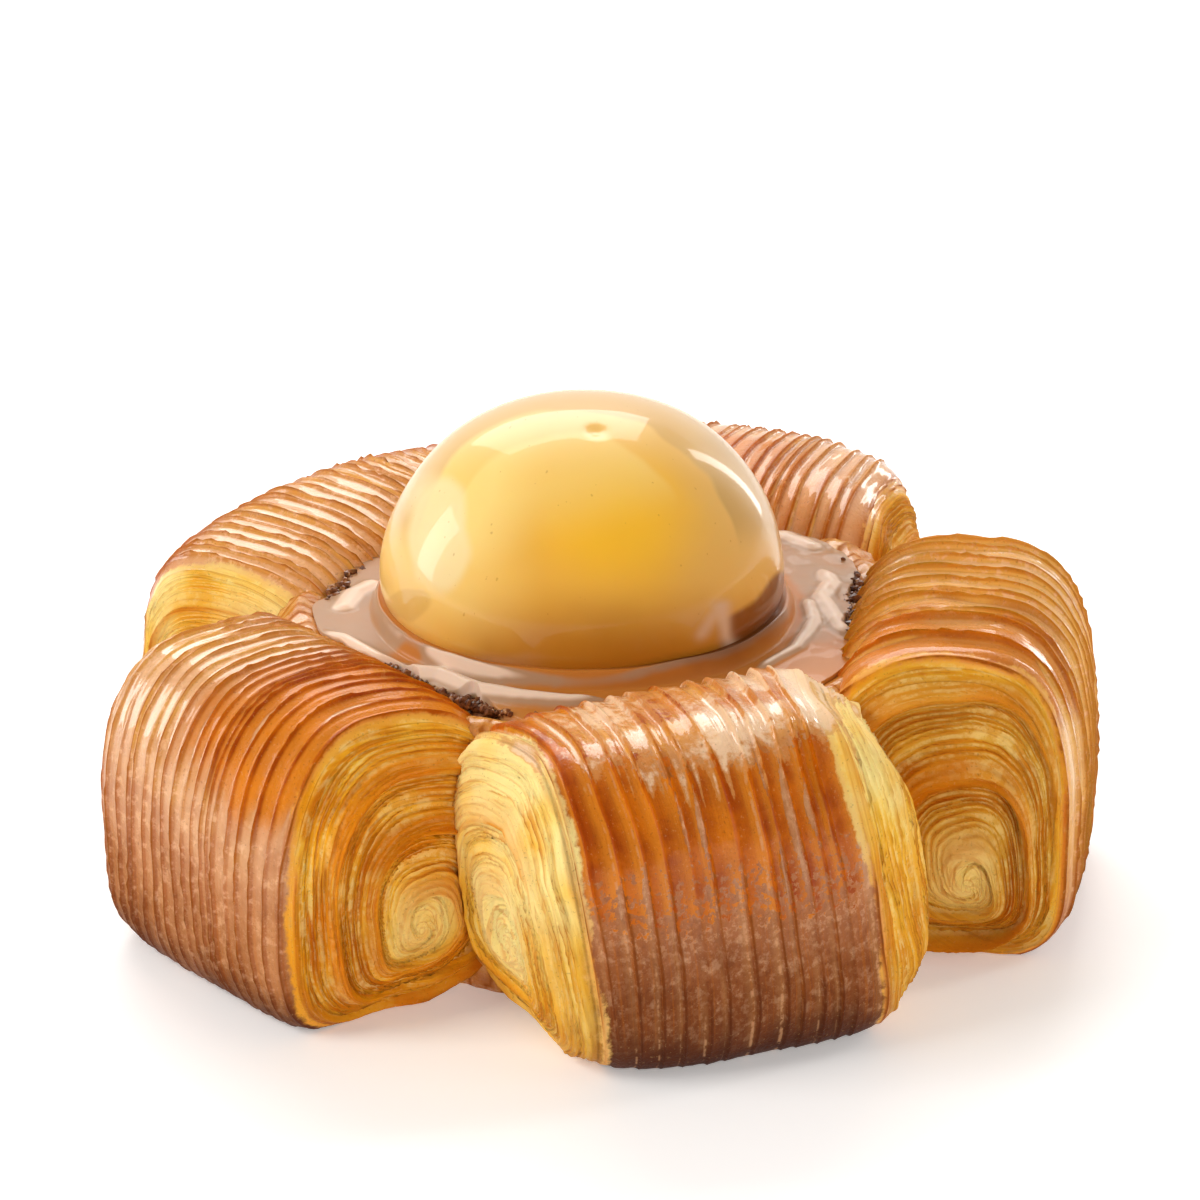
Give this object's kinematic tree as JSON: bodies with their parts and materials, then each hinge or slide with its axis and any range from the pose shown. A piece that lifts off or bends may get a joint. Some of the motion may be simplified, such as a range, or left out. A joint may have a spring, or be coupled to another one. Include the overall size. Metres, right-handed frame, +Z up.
{
  "type": "flower croissant",
  "caption": "Flower-shaped croissant of rolled laminated dough lobes round a well filled with chocolate crumb and caramel glaze, with a glossy yellow dome on top.",
  "frame": {"origin": "middle of the flower on its flat underside, where it rests on a plate or table", "axes": "+Z up through the dome, -Y towards the side shown, where the front lobe points, +X to the right of that side"},
  "size_m": [0.1164, 0.1172, 0.058],
  "materials": {
    "baked_dough": "satin",
    "chocolate_crumb": "matte",
    "caramel_glaze": "gloss",
    "yellow_glaze": "gloss"
  },
  "bodies": {
    "root": {"croissant_flower": "baked_dough", "chocolate_crumb": "chocolate_crumb", "glaze_pool": "caramel_glaze", "dome": "yellow_glaze"}
  },
  "joints": []
}
